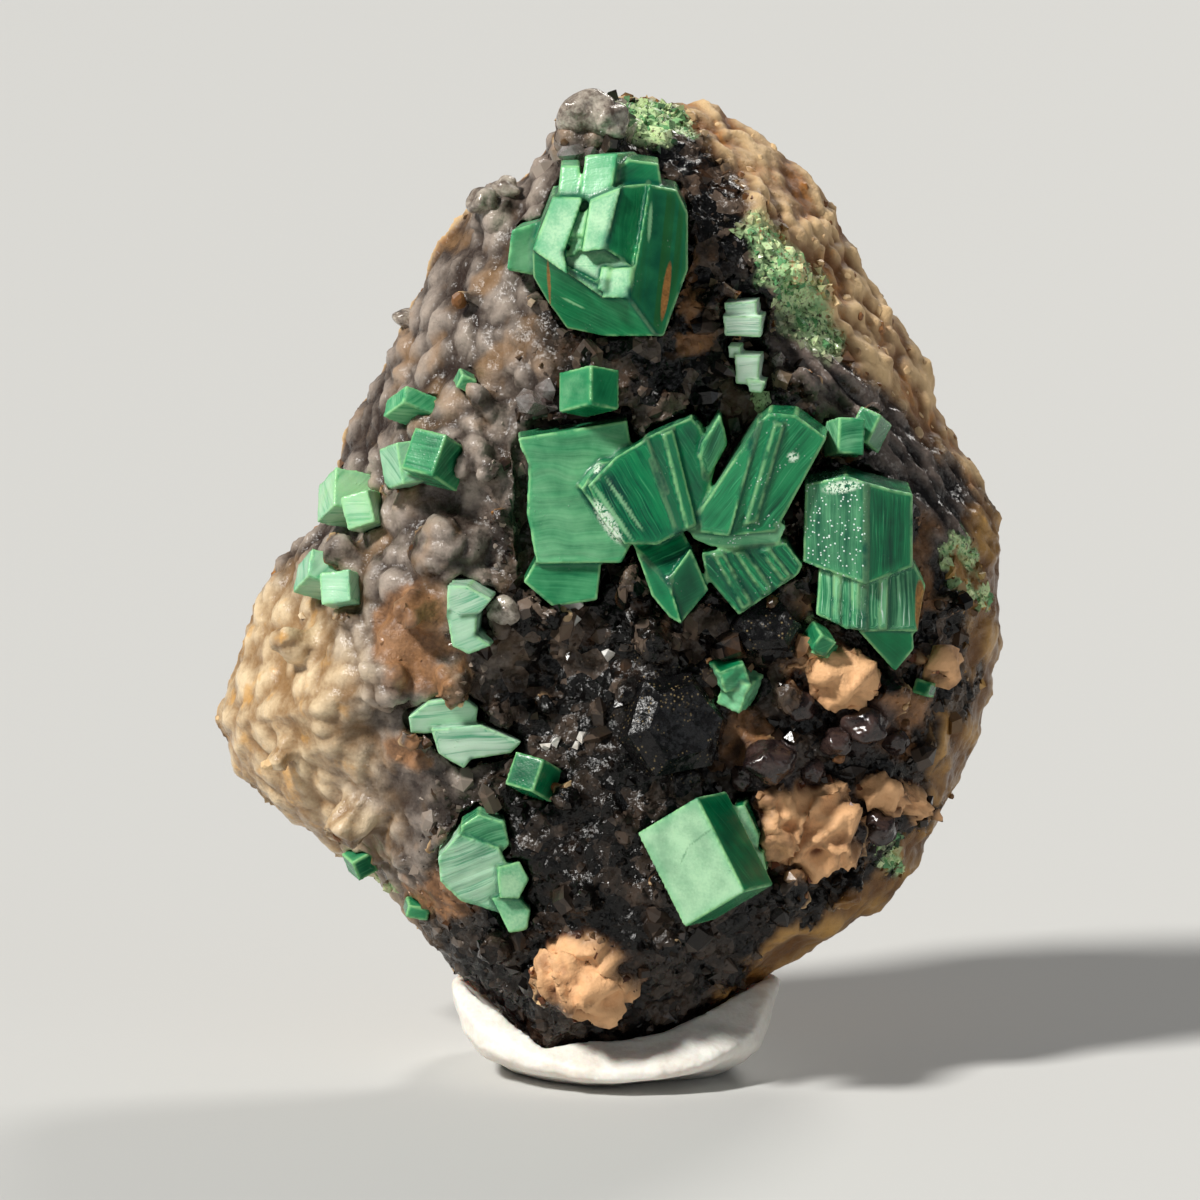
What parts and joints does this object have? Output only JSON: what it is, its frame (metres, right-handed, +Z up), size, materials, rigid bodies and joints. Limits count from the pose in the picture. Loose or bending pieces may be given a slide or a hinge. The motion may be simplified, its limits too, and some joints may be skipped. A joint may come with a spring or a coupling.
{
  "type": "torbernite mineral specimen",
  "caption": "Mineral specimen: square tabular green torbernite crystals on a druse of smoky quartz, standing on a lump of white mounting putty.",
  "frame": {"origin": "middle of the bounding box's underside, on the surface that the putty stands on", "axes": "+Z up through the specimen, the crystal side faces -Y, +X to the right seen from the crystal side"},
  "size_m": [0.0212, 0.0128, 0.0259],
  "materials": {
    "matrix": "glassy smoky quartz, duller on the tan rind",
    "putty_foot": "matt white putty",
    "torbernite_crown": "vitreous to pearly",
    "torbernite_bead": "vitreous",
    "torbernite_mint_upper": "pearly",
    "torbernite_mint_lower": "pearly",
    "torbernite_centre_cluster": "vitreous, streaked",
    "torbernite_right_pair": "vitreous",
    "torbernite_right_stack": "vitreous, streaked",
    "torbernite_right_grain": "dull",
    "torbernite_middle_pair": "vitreous",
    "torbernite_cube": "pearly",
    "torbernite_left_top": "pearly",
    "torbernite_left_pair": "pearly",
    "torbernite_left_upper": "dull",
    "torbernite_left_tip": "dull",
    "torbernite_crescent": "vitreous",
    "torbernite_left_slab": "pearly",
    "torbernite_left_cube": "vitreous",
    "torbernite_foot_group": "vitreous",
    "torbernite_speck_left_high": "pearly",
    "torbernite_speck_right": "vitreous",
    "torbernite_speck_left_low": "dull",
    "torbernite_speck_left_edge": "dull"
  },
  "bodies": {
    "root": {"matrix": "matrix", "putty_foot": "putty_foot", "torbernite_crown": "torbernite_crown", "torbernite_bead": "torbernite_bead", "torbernite_mint_upper": "torbernite_mint_upper", "torbernite_mint_lower": "torbernite_mint_lower", "torbernite_centre_cluster": "torbernite_centre_cluster", "torbernite_right_pair": "torbernite_right_pair", "torbernite_right_stack": "torbernite_right_stack", "torbernite_right_grain": "torbernite_right_grain", "torbernite_middle_pair": "torbernite_middle_pair", "torbernite_cube": "torbernite_cube", "torbernite_left_top": "torbernite_left_top", "torbernite_left_pair": "torbernite_left_pair", "torbernite_left_upper": "torbernite_left_upper", "torbernite_left_tip": "torbernite_left_tip", "torbernite_crescent": "torbernite_crescent", "torbernite_left_slab": "torbernite_left_slab", "torbernite_left_cube": "torbernite_left_cube", "torbernite_foot_group": "torbernite_foot_group", "torbernite_speck_left_high": "torbernite_speck_left_high", "torbernite_speck_right": "torbernite_speck_right", "torbernite_speck_left_low": "torbernite_speck_left_low", "torbernite_speck_left_edge": "torbernite_speck_left_edge"}
  },
  "joints": []
}
